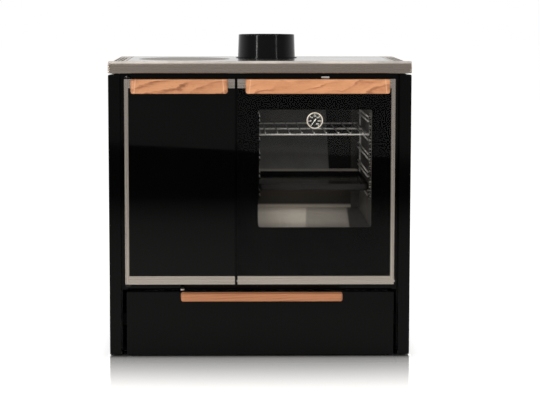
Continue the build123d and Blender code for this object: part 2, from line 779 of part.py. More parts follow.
def door_liner(x, opening=None):
    """Inner plate that closes the back of a door."""
    with BuildPart() as liner:
        with BuildSketch(facing(door_back)):
            pane((x[0] + pan_skin, x[1] - pan_skin), (door_bottom + pan_skin, door_top - pan_skin))
            if opening:
                pane(*opening, mode=Mode.SUBTRACT)
        extrude(amount=liner_t)
    return liner


def rope_seal(x, z, radius):
    """Flat gasket ring on the back of a door, round an opening."""
    with BuildPart() as seal:
        with BuildSketch(facing(door_back + seal_gap - seal_clear)):
            pane((x[0] - seal_w, x[1] + seal_w), (z[0] - seal_w, z[1] + seal_w), radius + seal_w)
            pane(x, z, radius, mode=Mode.SUBTRACT)
        extrude(amount=seal_gap - seal_clear)
    return seal


def grip_rail(x_mid, length, top, height, web, face=door_face):
    """Wooden handle: a web on the door, and a grip hanging in front of a finger groove."""
    nose = door_face - handle_reach
    grip_back = nose + grip_t
    ends = (x_mid - length / 2, x_mid + length / 2)
    with BuildPart() as rail:
        with BuildSketch(across(ends[0])) as section:
            with BuildLine():
                Polyline((face, top), (nose, top), (nose, top - height), (grip_back, top - height),
                         (grip_back, top - web - 4))
                ThreePointArc((grip_back, top - web - 4), (grip_back + 1.2, top - web - 1.2),
                              (grip_back + 4, top - web))
                Polyline((grip_back + 4, top - web), (face, top - web), (face, top))
            make_face()
            fillet(section.vertices().group_by(Axis.X)[0], handle_edge)
        extrude(amount=length)
        # ends rounded in plan, then the corners as seen from the front
        with BuildSketch(level(top)) as plan:
            pane(ends, (nose, face))
            fillet(plan.vertices().group_by(Axis.Y)[0], handle_end_r)
        extrude(amount=-height, mode=Mode.INTERSECT)
        with BuildSketch(facing(face)) as outline:
            pane(ends, (top - height, top))
            fillet(outline.vertices().group_by(Axis.Y)[0], handle_r_low)
            fillet(outline.vertices().group_by(Axis.Y)[-1], handle_r_top)
        extrude(amount=face - nose, mode=Mode.INTERSECT)
    return rail


fire_span = (fire_x0, fire_x1)
oven_span = (oven_x0, oven_x1)
sight = ((window_x - window_w / 2, window_x + window_w / 2),
         (window_bottom, window_bottom + window_h), window_r)
wider = ((sight[0][0] - 6, sight[0][1] + 6), (sight[1][0] - 6, sight[1][1] + 6), window_r + 6)

# fire door
with BuildPart() as fire_door_pan:
    add(door_pan(fire_span).part)
    # bearing blocks for the hinge pins, top and bottom
    for z in ((door_top - 24, door_top - pan_skin), (door_bottom + pan_skin, door_bottom + 24)):
        block((fire_x0 + pan_skin, fire_x0 + 22), (pan_face + pan_skin, pan_face + 20), z)
    with Locations((fire_hinge_x, fire_hinge_y, (door_bottom + door_top) / 2)):
        Cylinder(pin_r + pin_clear, door_h + 10, mode=Mode.SUBTRACT)
write(fire_door_pan, "fire_door_pan")
write(trim_frame(fire_span, 1), "fire_door_trim")
write(door_liner(fire_span), "fire_door_liner")

fire_glass_x, glass_z = glass_area(fire_span, 1)
with BuildPart() as fire_door_glass:
    with BuildSketch(facing(pan_face)):
        pane(fire_glass_x, glass_z)
    extrude(amount=trim_t)
write(fire_door_glass, "fire_door_glass")
write(rope_seal((fire_open_x[0] - 6, fire_open_x[1] + 6), (ash_open_z[0] - 2, fire_open_z[1] + 10), 10),
      "fire_door_seal")
write(grip_rail(fire_mid, fire_handle_l, door_top, handle_h, web_h), "fire_door_handle")

with BuildPart() as fire_hinge_pins:
    for z0, z1, head in ((door_top - 20, door_top + 6, door_top + 6), (door_bottom - 6, door_bottom + 20,
                                                                     door_bottom - 8)):
        with Locations((fire_hinge_x, fire_hinge_y, (z0 + z1) / 2)):
            Cylinder(pin_r, z1 - z0)
        with Locations((fire_hinge_x, fire_hinge_y, head + 1)):
            Cylinder(6, 2)
write(fire_hinge_pins, "fire_hinge_pins")

with BuildPart() as fire_hinge_brackets:
    for z in ((door_top + 3, door_top + 6), (door_bottom - 6, door_bottom - 3)):
        block((fire_hinge_x - 7, fire_hinge_x + 9), (fire_hinge_y - 7, frame_face), z)
        with Locations((fire_hinge_x, fire_hinge_y, (z[0] + z[1]) / 2)):
            Cylinder(pin_r + 0.05, 10, mode=Mode.SUBTRACT)
write(fire_hinge_brackets, "fire_hinge_brackets")

with BuildPart() as fire_door_catch:
    with BuildSketch(across(catch_x - 1.5)):
        pane((door_back, frame_back + 18), (catch_z - 12, catch_z + 12))
    extrude(amount=3)
    fillet(fire_door_catch.edges().filter_by(Axis.X).group_by(Axis.Y)[-1], 6)
write(fire_door_catch, "fire_door_catch")

with BuildPart() as catch_keeper:
    with Locations((catch_x - 1.5 - 0.3 - 4, frame_back + 10, catch_z)):
        Cylinder(4, 24)
        Cylinder(1.5, 36)
    for z in (catch_z - 16, catch_z + 13):
        block((catch_x - 10, catch_x - 2.5), (frame_back, frame_back + 15), (z, z + 3))
write(catch_keeper, "catch_keeper")

# oven door
with BuildPart() as oven_door_pan:
    add(door_pan(oven_span, window=wider).part)
    for x in ((oven_x0 + pan_skin, oven_x0 + 20), (oven_x1 - 20, oven_x1 - pan_skin)):
        block(x, (pan_face + pan_skin, oven_hinge_y + 10), (door_bottom + pan_skin, oven_hinge_z + 9))
    with Locations(Location((oven_mid, oven_hinge_y, oven_hinge_z), (0, 90, 0))):
        Cylinder(pin_r + pin_clear, oven_x1 - oven_x0 + 10, mode=Mode.SUBTRACT)
write(oven_door_pan, "oven_door_pan")
write(trim_frame(oven_span, -1), "oven_door_trim")
write(door_liner(oven_span, wider), "oven_door_liner")

oven_glass_x, _ = glass_area(oven_span, -1)
with BuildPart() as oven_door_glass:
    with BuildSketch(facing(door_face + glass_t)):
        pane(oven_glass_x, glass_z)
        with Locations((dial_x, dial_z)):
            Circle(3.4, mode=Mode.SUBTRACT)
    extrude(amount=glass_t)
write(oven_door_glass, "oven_door_glass")

with BuildPart() as oven_door_mask:
    with BuildSketch(facing(pan_face)):
        pane(oven_glass_x, glass_z)
        pane(*sight, mode=Mode.SUBTRACT)
    extrude(amount=trim_t - glass_t)
write(oven_door_mask, "oven_door_mask")

inner_glass = ((wider[0][0] - 14, wider[0][1] + 14), (wider[1][0] - 14, wider[1][1] + 14))
with BuildPart() as oven_inner_glass:
    with BuildSketch(facing(door_back - liner_t)):
        pane(*inner_glass, 6)
        with Locations((dial_x, dial_z)):
            Circle(3.4, mode=Mode.SUBTRACT)
    extrude(amount=glass_t)
write(oven_inner_glass, "oven_inner_glass")

with BuildPart() as oven_glass_clips:
    clip_y = (door_back - liner_t - glass_t - 1.5, door_back - liner_t - glass_t)
    for side in (-1, 1):
        for z in (inner_glass[1][0] + 60, inner_glass[1][1] - 60):
            edge = window_x + side * (inner_glass[0][1] - inner_glass[0][0]) / 2
            block(sorted((edge - side * 8, edge + side * 14)), clip_y, (z - 9, z + 9))
            block(sorted((edge + side * 0.5, edge + side * 14)), (clip_y[1], door_back - liner_t), (z - 9, z + 9))
write(oven_glass_clips, "oven_glass_clips")
write(rope_seal((oven_in_x[0] - 8, oven_in_x[1] + 8), (oven_floor - 8, oven_top + 8), oven_r + 8),
      "oven_door_seal")
write(grip_rail(oven_mid + oven_handle_off, oven_handle_l, door_top, handle_h, web_h), "oven_door_handle")

ear_x = ((fire_x1 + 2.5, fire_x1 + 5.5), (oven_x1 + 3, oven_x1 + 6))
with BuildPart() as oven_hinge_ears:
    for x in ear_x:
        with BuildSketch(across(x[0])):
            with BuildLine():
                Polyline((frame_face, oven_hinge_z - 7), (oven_hinge_y, oven_hinge_z - 7))
                ThreePointArc((oven_hinge_y, oven_hinge_z - 7), (oven_hinge_y - 7, oven_hinge_z),
                              (oven_hinge_y, oven_hinge_z + 7))
                Polyline((oven_hinge_y, oven_hinge_z + 7), (frame_face, oven_hinge_z + 7),
                         (frame_face, oven_hinge_z - 7))
            make_face()
            with Locations((oven_hinge_y, oven_hinge_z)):
                Circle(pin_r + 0.05, mode=Mode.SUBTRACT)
        extrude(amount=x[1] - x[0])
write(oven_hinge_ears, "oven_hinge_ears")

with BuildPart() as oven_hinge_pins:
    for x in ((ear_x[0][0], oven_x0 + 18), (oven_x1 - 18, ear_x[1][1])):
        with Locations(Location(((x[0] + x[1]) / 2, oven_hinge_y, oven_hinge_z), (0, 90, 0))):
            Cylinder(pin_r, x[1] - x[0])
write(oven_hinge_pins, "oven_hinge_pins")

# ---------------------------------------------------------------- oven thermometer
case_h = 9.0                 # bezel in front of the glass
case_floor = 1.5
case_wall = 2.5
stem_len = door_t + 3.0
dial_in = dial_r - case_wall
needle_len = 17.0
needle_start = 215.0         # cold reading, degrees clockwise from the top
needle_y = case_h - 5.4      # needle plane in front of the glass
dial_axis = Axis((dial_x, 0, dial_z), (0, 1, 0))

with BuildPart() as thermometer_case:
    with BuildSketch(faced(dial_x, door_face, dial_z)):
        with BuildLine():
            Polyline((0, -stem_len), (0, case_floor), (dial_in, case_floor), (dial_in, case_h - 2.2),
                     (dial_in + 0.8, case_h - 2.2), (dial_in + 0.8, case_h), (dial_r - 1, case_h),
                     (dial_r, case_h - 1), (dial_r, 0), (3, 0), (3, -stem_len), (0, -stem_len))
        make_face()
    revolve(axis=dial_axis)
    # pivot pin of the needle
    with BuildSketch(facing(door_face - case_floor)):
        with Locations((dial_x, dial_z)):
            Circle(0.8)
    extrude(amount=needle_y + 0.6 - case_floor)
write(thermometer_case, "thermometer_case")

with BuildPart() as thermometer_dial:
    with BuildSketch(facing(door_face - case_floor)):
        with Locations((dial_x, dial_z)):
            Circle(dial_in - 0.2)
            Circle(1.2, mode=Mode.SUBTRACT)
    extrude(amount=0.5)
write(thermometer_dial, "thermometer_dial")

with BuildPart() as thermometer_lens:
    with BuildSketch(facing(door_face - case_h + 2.2)):
        with Locations((dial_x, dial_z)):
            Circle(dial_in + 0.6)
    extrude(amount=1.4)
write(thermometer_lens, "thermometer_lens")

with BuildPart() as thermometer_needle:
    with BuildSketch(facing(door_face - needle_y + 0.4)):
        with Locations((dial_x, dial_z)):
            with Locations(Rotation(0, 0, -needle_start)):
                Polygon((-1.5, -6), (1.5, -6), (0.4, needle_len), (-0.4, needle_len), align=None)
                Circle(2.4)
                Circle(0.8 + pin_clear, mode=Mode.SUBTRACT)
    extrude(amount=0.8)
write(thermometer_needle, "thermometer_needle")

# ---------------------------------------------------------------- drawer
drawer_face = door_face - 1.0
panel_back = drawer_face + drawer_front_t
with BuildPart() as drawer_front:
    block(front_x, (drawer_face, panel_back), (drawer_clear, drawer_top))
    fillet(drawer_front.faces().sort_by(Axis.Y)[0].edges(), 1.2)
    offset(amount=-drawer_sheet, openings=drawer_front.faces().sort_by(Axis.Y)[-1])
write(drawer_front, "drawer_front")

runner_side = 0.6            # drawer box to the carcass runner
box_half = shell_in - runner_t
box_low = base_top + 14.0
with BuildPart() as drawer_box:
    block((-box_half, box_half), (panel_back, panel_back + drawer_box_depth),
          (box_low, box_low + drawer_box_h))
    offset(amount=-drawer_sheet, openings=drawer_box.faces().sort_by(Axis.Z)[-1])
    # spacers that carry the hollow front panel on the front of the box
    for side in (-1, 1):
        for z in (box_low + 4, box_low + drawer_box_h - 34):
            block(sorted((side * (box_half - 60), side * (box_half - 20))),
                  (drawer_face + drawer_sheet, panel_back), (z, z + 30))
write(drawer_box, "drawer_box")
write(grip_rail(sum(front_x) / 2 + drawer_handle_off, drawer_handle_l, drawer_top, drawer_handle_h,
                drawer_web_h, drawer_face), "drawer_handle")

runner_y = (frame_back, shell_rear - shell_t - 20)
runner_mid = runner_z + runner_h / 2
lip_h = 5.0
with BuildPart() as drawer_runners:
    for side in (-1, 1):
        with BuildSketch(facing(runner_y[1])):
            with BuildLine():
                Polyline((side * shell_in, runner_z), (side * (box_half + runner_side), runner_z),
                         (side * (box_half + runner_side), runner_z + lip_h),
                         (side * (box_half + runner_side + 2), runner_z + lip_h),
                         (side * (box_half + runner_side + 2), runner_z + 2),
                         (side * (shell_in - 2), runner_z + 2),
                         (side * (shell_in - 2), runner_z + runner_h - 2),
                         (side * (box_half + runner_side + 2), runner_z + runner_h - 2),
                         (side * (box_half + runner_side + 2), runner_z + runner_h - lip_h),
                         (side * (box_half + runner_side), runner_z + runner_h - lip_h),
                         (side * (box_half + runner_side), runner_z + runner_h),
                         (side * shell_in, runner_z + runner_h), close=True)
            make_face()
        extrude(amount=runner_y[1] - runner_y[0])
write(drawer_runners, "drawer_runners")

slide_l = drawer_travel + slide_hold
with BuildPart() as drawer_slides:
    for side in (-1, 1):
        tongue = (box_half, shell_in - 2 - 0.4)
        block(sorted(side * x for x in (tongue[0], tongue[0] + 4)), (panel_back + 4, panel_back + 4 + slide_l),
              (runner_z + lip_h + 0.6, runner_z + runner_h - lip_h - 0.6))
        block(sorted(side * x for x in (tongue[0] + runner_side + 2.4, tongue[1])),
              (panel_back + 4, panel_back + 4 + slide_l), (runner_z + 2.4, runner_z + runner_h - 2.4))
write(drawer_slides, "drawer_slides")
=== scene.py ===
import math

import bpy
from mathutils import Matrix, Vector


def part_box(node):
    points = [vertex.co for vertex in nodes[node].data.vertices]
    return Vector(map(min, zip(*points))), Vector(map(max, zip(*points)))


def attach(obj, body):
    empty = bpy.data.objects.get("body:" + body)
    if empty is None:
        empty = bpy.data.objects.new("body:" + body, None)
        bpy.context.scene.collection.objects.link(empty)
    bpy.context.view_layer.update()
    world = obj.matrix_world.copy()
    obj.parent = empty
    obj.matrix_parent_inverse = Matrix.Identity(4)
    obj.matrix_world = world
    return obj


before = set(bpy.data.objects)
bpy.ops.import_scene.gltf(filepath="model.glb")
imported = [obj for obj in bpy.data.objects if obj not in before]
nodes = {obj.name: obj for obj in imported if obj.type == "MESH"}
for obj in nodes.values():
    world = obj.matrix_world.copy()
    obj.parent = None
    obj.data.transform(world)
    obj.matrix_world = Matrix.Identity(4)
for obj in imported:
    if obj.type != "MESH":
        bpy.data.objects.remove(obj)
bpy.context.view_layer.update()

scene = bpy.context.scene
scene.view_settings.view_transform = "Standard"

# ---------------------------------------------------------------- numbers: metres, degrees and watts
# camera, fitted to the photograph
CAMERA_AT = (-0.0880, -5.2501, 1.0782)
CAMERA_YAW = 0.492           # to the right
CAMERA_PITCH = 5.686         # down
CAMERA_LENS = 111.95         # mm, on a sensor CAMERA_SENSOR wide
CAMERA_SENSOR = 36.0
CAMERA_SHIFT = (0.047, -0.0690)

# room
WORLD_LEVEL = 0.5
WORLD_TINT = (1.0, 0.99, 0.975, 1.0)
FRONT_LEVEL = 0.5            # what metal sees behind the camera, white is 1
FLOOR_HALF = 30.0
FLOOR_WHITE = (0.80, 0.795, 0.785)
FLOOR_GLOW = 0.62            # floor's own white, for the camera only
CONTACT_SHADOW_REACH = 0.035        # painted contact shadow: a dark line where the stove stands
CONTACT_MIRROR = 0.95        # share of reflection in that line
# share of reflection by metres from the stove
FLOOR_MIRROR = ((0.0, 0.83), (0.19, 0.586), (0.386, 0.3075), (0.52, 0.20), (0.80, 0.02), (1.0, 0.0))
# shade of the floor as shiny pieces see it, at shares of the way SHADE_REACH ahead of the stove
SHADE_REACH = 8.0
FLOOR_SHADE = ((0.04, 0.0), (0.14, 0.22), (0.40, 0.42), (1.0, 0.0))
BAND_CORNERS = ((-2.6, -8.35, 0.003), (2.6, -5.6, 0.003), (2.6, -3.1, 0.003), (-2.6, -3.1, 0.003))
BAND_FADE = (-4.3, -3.15)    # y between which the band thins out towards the stove

# lamps: name, place, aim, width, depth, power
LAMP_COLOUR = (1.0, 0.985, 0.96)
KEY_LAMP = ("key", (-2.6, -3.6, 3.4), (0.0, -0.1, 0.5), 2.4, 2.4, 95)
SOFT_LAMPS = (
    ("fill", (3.0, -3.2, 2.4), (0.0, -0.1, 0.5), 2.2, 2.2, 45),
    ("top", (0.3, 0.6, 3.6), (0.0, 0.0, 0.8), 2.6, 2.6, 40),
)
# upright strips around the flue collar, seen in its gloss: name, azimuth, width, power
STRIP_LAMPS = (("strip_left", -40.2, 0.09, 18), ("strip_right", 39.0, 0.07, 5))
STRIP_AIM = Vector((0.0315, 0.204, 0.92))
STRIP_AWAY = 3.2
STRIP_RISE = 0.12            # metres up for each metre away
STRIP_TALL = 1.6

# ---------------------------------------------------------------- places on the solids
_, air_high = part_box("air_knob")
ladder_low, ladder_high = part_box("oven_ladders")
tray_low, tray_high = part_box("baking_tray")
oven_low, oven_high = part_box("oven_box")
left_low, left_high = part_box("fire_door_handle")
right_low, right_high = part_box("oven_door_handle")

# two soft panels, under the tray and under the oven's roof, that show its inside through the dark glass
OVEN_MIDDLE = (ladder_low.x + ladder_high.x) / 2
OVEN_LAMPS = (
    ("oven_low", (OVEN_MIDDLE, 0.02, tray_low.z - 0.006), (OVEN_MIDDLE, 0.02, 0.0), 0.26, 0.36, 0.47),
    ("oven_high", (OVEN_MIDDLE, -0.215, oven_high.z - 0.012), (OVEN_MIDDLE, 0.25, oven_high.z - 0.30),
     0.26, 0.05, 0.75),
)

OVEN_FLOOR = oven_low.z + 0.003
PAINTED_LIGHT_HEIGHT = 0.40           # the painted light and painted reflection on the oven's back wall run over this height
PAINTED_SHADE_EDGE = (oven_low.x + oven_high.x) / 2 + 0.102      # the back wall has painted shade right of this
PAINTED_SHADE_LOWEST = OVEN_FLOOR + 0.14                         # and above this
SIDE_TONE_FROM = oven_high.x - 0.041                       # right of this it has the sides' tone, painted lighter than the back
# the oven floor darkens in two steps to the right, painted shade: x, share and colour of each
OVEN_SHADE_STEPS = ((0.150, 0.50, (0.04, 0.037, 0.033)), (0.283, 0.985, (0.03, 0.028, 0.026)))
# painted light on the back wall, at shares of that height: a bright band at its foot and a pale painted
# reflection higher up
BACK_PAINTED_LIGHT = (
    (0.0, (0.52, 0.47, 0.40)), (0.045, (0.52, 0.47, 0.40)), (0.062, (0.035, 0.033, 0.030)),
    (0.16, (0.052, 0.043, 0.034)), (0.24, (0.058, 0.046, 0.036)), (0.34, (0.34, 0.335, 0.325)),
    (0.45, (0.27, 0.265, 0.258)), (0.56, (0.15, 0.148, 0.144)), (0.80, (0.105, 0.103, 0.10)),
)
# the two door handles: low x, high x and how much darker than plain
HANDLE_BARS = ((left_low.x, left_high.x, 0.12), (right_low.x, right_high.x, 0.0))
BARS_Z = left_low.z
BEVEL_IN = 0.0105            # painted highlight line of the rounded end, this far in from each end of a handle
BEVEL_LEAN = 0.10
BEVEL_HIGHLIGHT = (0.95, 0.62, 0.42)
TRIM_UPRIGHT = 0.3905        # the trims' upright bars lie beyond this x, on both sides
LADDER_POSTS = ladder_low.y + 0.024                     # the front posts lie ahead of this and are painted black as shade
LADDER_RIGHT = 0.1                                      # the right ladder lies beyond this x, and its posts carry painted glints
TRAY_HIGHLIGHT_RIM = {"Y": tray_high.y - 0.012, "Z": tray_high.z - 0.008}     # the rear rim lies beyond these and carries a painted highlight
TRAY_LIT_FRONT = tray_low.y + 0.006                         # the tray's front lies ahead of this and is painted lighter as lit
# the air knob is painted dark above this height: a painted reflection of the ledge over it
KNOB_SHADE_FROM = air_high.z - 0.0085

BLACK = (0.0, 0.0, 0.0)


# ---------------------------------------------------------------- node helpers
def put(tree, kind, inputs=None, **settings):
    """Adds a node; an input is given as a value or as the socket that feeds it."""
    n = tree.nodes.new(kind)
    for name, value in settings.items():
        setattr(n, name, value)
    for name, value in (inputs or {}).items():
        if isinstance(value, bpy.types.NodeSocket):
            tree.links.new(value, n.inputs[name])
        else:
            n.inputs[name].default_value = value
    return n


def maths(operation):
    """Helper that joins its values and sockets, from left to right, with one maths operation."""
    def join(tree, first, *others):
        total = first
        for other in others:
            total = put(tree, "ShaderNodeMath", {0: total, 1: other}, operation=operation).outputs[0]
        return total
    return join


add, less, times, over = maths("ADD"), maths("SUBTRACT"), maths("MULTIPLY"), maths("DIVIDE")
above, below, larger = maths("GREATER_THAN"), maths("LESS_THAN"), maths("MAXIMUM")


def single(tree, operation, value):
    """One value through one maths operation."""
    return put(tree, "ShaderNodeMath", {0: value}, operation=operation).outputs[0]


def weighed(tree, *pairs):
    """Sum of (value, weight) pairs."""
    return add(tree, *[times(tree, value, weight) for value, weight in pairs])


def grey(level):
    return (level,) * 3


def scaled(colour, by):
    return tuple(c * by for c in colour)


def ramp(tree, fac, stops):
    """Colour ramp from (position, colour) pairs; a colour is a grey or three numbers."""
    n = put(tree, "ShaderNodeValToRGB", {"Fac": fac})
    band = n.color_ramp.elements
    while len(band) < len(stops):
        band.new(0.5)
    for element, (at, colour) in zip(band, stops):
        element.position = at
        rgb = colour if isinstance(colour, tuple) else grey(colour)
        element.color = (*rgb, 1.0)
    return n.outputs["Color"]


def spread(tree, value, low, high, from_low=0.0, from_high=1.0):
    """Value mapped to low at from_low and high at from_high, and held beyond them."""
    return put(tree, "ShaderNodeMapRange", {"Value": value, "From Min": from_low, "From Max": from_high,
                                            "To Min": low, "To Max": high}).outputs["Result"]


def edge(tree, value, at, soft, share=1.0):
    """0 below a value and share above it, with an edge that is soft to both sides."""
    return spread(tree, value, 0.0, share, at - soft, at + soft)


def coords(tree, scale=(1, 1, 1), turn=(0, 0, 0)):
    """Place on the solid in metres, scaled and turned by degrees for each axis."""
    inputs = {"Vector": put(tree, "ShaderNodeTexCoord").outputs["Object"], "Scale": scale,
              "Rotation": tuple(math.radians(a) for a in turn)}
    return put(tree, "ShaderNodeMapping", inputs).outputs["Vector"]


def axes(tree, vector):
    """The X, Y and Z outputs of a vector."""
    return put(tree, "ShaderNodeSeparateXYZ", {0: vector}).outputs


def place(tree):
    return axes(tree, coords(tree))


def facing(tree):
    return axes(tree, put(tree, "ShaderNodeNewGeometry").outputs["Normal"])


def noise(tree, where, scale, detail=3.0, rough=0.55, distortion=0.0):
    return put(tree, "ShaderNodeTexNoise", {"Vector": where, "Scale": scale, "Detail": detail,
                                            "Roughness": rough, "Distortion": distortion}).outputs["Fac"]


def drawn(tree, scale, detail=3.0, rough=0.55, distortion=0.0, turn=(0, 0, 0)):
    """Noise drawn out by a scale for each axis: the smaller the scale, the longer it runs."""
    return noise(tree, coords(tree, scale, turn), 1.0, detail, rough, distortion)


def streaks(tree, along):
    """Brushed streaks along an axis."""
    return drawn(tree, tuple(3 if axis == along else 420 for axis in "xyz"), 4.0, 0.6)


NOISE_SPAN = (0.3, 0.7)      # nearly all of a noise's values lie in here


def tones(tree, fac, low, high, span=NOISE_SPAN):
    """Colour that goes from low to high over a span of values."""
    return ramp(tree, fac, ((span[0], low), (span[1], high)))


def varied(tree, fac, low, high):
    """Number that goes from low to high over the span of a noise."""
    return spread(tree, fac, low, high, *NOISE_SPAN)


def mixed(tree, fac, a, b):
    """Mix of two colours, with the share fac of b."""
    n = put(tree, "ShaderNodeMix", data_type="RGBA", blend_type="MIX")
    for socket, value in (("Factor_Float", fac), ("A_Color", a), ("B_Color", b)):
        target = next(s for s in n.inputs if s.identifier == socket)
        if isinstance(value, bpy.types.NodeSocket):
            tree.links.new(value, target)
        else:
            target.default_value = (*value, 1.0)
    return next(s for s in n.outputs if s.identifier == "Result_Color")


def bump(tree, height, strength, distance=0.001):
    return put(tree, "ShaderNodeBump", {"Height": height, "Strength": strength,
                                        "Distance": distance}).outputs["Normal"]


def light_path(tree, *rays):
    """1 for rays of these kinds, 0 for others."""
    path = put(tree, "ShaderNodeLightPath")
    return larger(tree, *[path.outputs[f"Is {ray} Ray"] for ray in rays])


def either(tree, share, first, second):
    """Mix of two shaders, with this share of the second."""
    return put(tree, "ShaderNodeMixShader", {0: share, 1: first, 2: second}).outputs[0]


def shaded(holder, output, shade):
    """Gives a material or the world the shader that shade(tree) returns."""
    holder.use_nodes = True
    tree = holder.node_tree
    tree.nodes.clear()
    tree.links.new(shade(tree), put(tree, output).inputs["Surface"])
    return holder


def material(name, build):
    """Material with a principled shader, whose inputs build(tree) returns."""
    return shaded(bpy.data.materials.new(name), "ShaderNodeOutputMaterial",
                  lambda tree: put(tree, "ShaderNodeBsdfPrincipled", build(tree)).outputs[0])


# ---------------------------------------------------------------- looks
def brushed(dark, light, roughness, along="x", bumps=0.12, upright_from=None, top=None):
    """Brushed steel: long fine streaks one way, with soft patches of tone.
    Beyond upright_from, to the left and right, the streaks run up and down.
    Faces that look up take the plain colour top, where given, and turn non-metal and rougher: painted shade
    that dims their reflection."""
    def build(tree):
        streak = streaks(tree, along)
        if upright_from:
            outer = above(tree, single(tree, "ABSOLUTE", place(tree)["X"]), upright_from)
            streak = weighed(tree, (streaks(tree, "z"), outer), (streak, less(tree, 1.0, outer)))
        patch = noise(tree, coords(tree), 3.5, 2.0)
        colour = tones(tree, weighed(tree, (streak, 0.75), (patch, 0.25)), dark, light)
        dull = varied(tree, streak, roughness - 0.02, roughness + 0.03)
        metal = 1.0
        if top:
            # painted shade: faces that look up are made plain and dull, to dim their reflection
            up = above(tree, facing(tree)["Z"], 0.9)
            colour = mixed(tree, up, colour, top)
            metal = less(tree, 1.0, up)
            dull = add(tree, dull, times(tree, up, 0.25))
        return {"Base Color": colour, "Metallic": metal, "Roughness": dull,
                "Normal": bump(tree, streak, bumps, 0.0002)}
    return build


def oven_lining(tree):
    """Oven sheet: a stained back wall with painted light, a painted reflection and painted shade, streaked
    sides painted lighter than the back, and a bright steel floor with steps of painted shade to the right.
    """
    normal, where = facing(tree), place(tree)
    up = above(tree, normal["Z"], 0.7)
    side = above(tree, single(tree, "ABSOLUTE", normal["X"]), 0.7)
    streak = streaks(tree, "y")
    stain = noise(tree, coords(tree), 8.0, 4.0)
    # the side walls are painted lighter than the back, as lit
    sides = tones(tree, streak, (0.050, 0.046, 0.041), (0.105, 0.098, 0.088))

    # painted light and a painted reflection on the back wall, by height
    height = spread(tree, where["Z"], 0.0, 1.0, OVEN_FLOOR, OVEN_FLOOR + PAINTED_LIGHT_HEIGHT)
    back = ramp(tree, height, BACK_PAINTED_LIGHT)
    # painted shade on the back wall, right of a leaning edge and above a given height
    leaning = add(tree, where["X"], times(tree, where["Z"], 0.06))
    dark = times(tree, edge(tree, leaning, PAINTED_SHADE_EDGE, 0.002, 0.96), above(tree, where["Z"], PAINTED_SHADE_LOWEST))
    back = mixed(tree, dark, back, grey(0.008))
    back = mixed(tree, spread(tree, stain, 0.0, 0.25, 0.4, 0.7), back, (0.02, 0.019, 0.018))
    back = mixed(tree, edge(tree, where["X"], SIDE_TONE_FROM, 0.002), back, sides)

    bottom = tones(tree, streak, (0.42, 0.38, 0.325), (0.52, 0.475, 0.41))
    # painted shade on the oven floor, in two steps to the right
    slanting = less(tree, where["X"], times(tree, where["Y"], 0.05))
    for x, share, colour in OVEN_SHADE_STEPS:
        bottom = mixed(tree, edge(tree, slanting, x, 0.003, share), bottom, colour)

    return {"Base Color": mixed(tree, up, mixed(tree, side, back, sides), bottom),
            "Metallic": spread(tree, up, 0.35, 0.0), "Specular IOR Level": 0.08,
            "Roughness": varied(tree, stain, 0.28, 0.40), "Normal": bump(tree, streak, 0.04, 0.0001)}


def tray_enamel(tree):
    """Dark enamel of the baking tray, with a painted highlight along its raised rear rim and its front
    painted lighter as lit.
    """
    where = place(tree)
    wave = noise(tree, coords(tree), 90.0, 2.0)
    tint = noise(tree, coords(tree), 12.0, 3.0)
    # painted highlight along the rear rim, and the front painted lighter as lit
    rear = times(tree, *[above(tree, where[axis], limit) for axis, limit in TRAY_HIGHLIGHT_RIM.items()])
    front = below(tree, where["Y"], TRAY_LIT_FRONT)
    dark = tones(tree, tint, (0.0012, 0.0012, 0.0013), (0.0025, 0.0025, 0.0026))
    colour = mixed(tree, rear, mixed(tree, front, dark, (0.035, 0.033, 0.032)), (0.62, 0.57, 0.48))
    return {"Base Color": colour, "Roughness": varied(tree, tint, 0.12, 0.2),
            "Specular IOR Level": 0.10, "Normal": bump(tree, wave, 0.03, 0.0005)}


def ground(dark, light, roughness, metallic):
    """Ground and oiled plate: fine cross scratches and faint heat tone."""
    def build(tree):
        scratch = drawn(tree, (6, 500, 6), 4.0, 0.65)
        cross = drawn(tree, (500, 6, 6), 3.0, 0.6, turn=(0, 0, 20))
        both = weighed(tree, (scratch, 0.6), (cross, 0.4))
        patch = noise(tree, coords(tree), 7.0, 4.0)
        colour = tones(tree, weighed(tree, (both, 0.5), (patch, 0.5)), dark, light, (0.35, 0.65))
        return {"Base Color": colour, "Metallic": metallic,
                "Roughness": varied(tree, patch, roughness - 0.03, roughness + 0.05),
                "Normal": bump(tree, both, 0.1, 0.0002)}
    return build


def gloss(base, roughness, specular, ripple=0.02, ripple_scale=45.0):
    """Gloss enamel or backed glass: near black, with a faint orange-peel ripple."""
    def build(tree):
        wave = noise(tree, coords(tree), ripple_scale, 2.0)
        tint = noise(tree, coords(tree), 5.0, 3.0)
        return {"Base Color": tones(tree, tint, scaled(base, 0.85), scaled(base, 1.2), (0.35, 0.65)),
                "Roughness": varied(tree, tint, roughness, roughness + 0.03),
                "Specular IOR Level": specular, "Normal": bump(tree, wave, ripple, 0.0005)}
    return build


def satin(base, roughness, specular=0.3, grain=160.0, bumps=0.15, metallic=0.0):
    """Satin paint or plain sheet: fine powder grain with a mottled tone."""
    def build(tree):
        fine = noise(tree, coords(tree), grain, 3.0)
        tint = noise(tree, coords(tree), 9.0, 4.0)
        return {"Base Color": tones(tree, tint, scaled(base, 0.75), scaled(base, 1.3)),
                "Metallic": metallic, "Roughness": varied(tree, fine, roughness - 0.06, roughness + 0.08),
                "Specular IOR Level": specular, "Normal": bump(tree, fine, bumps, 0.0004)}
    return build


def castings(tree):
    """Cast iron: sandy skin, unevenly sooted."""
    sand = noise(tree, coords(tree), 420.0, 3.0, 0.7)
    tint = noise(tree, coords(tree), 22.0, 4.0)
    return {"Base Color": tones(tree, tint, (0.022, 0.021, 0.020), (0.062, 0.058, 0.054)),
            "Metallic": 0.35, "Roughness": varied(tree, sand, 0.55, 0.8),
            "Normal": bump(tree, sand, 0.5, 0.0008)}


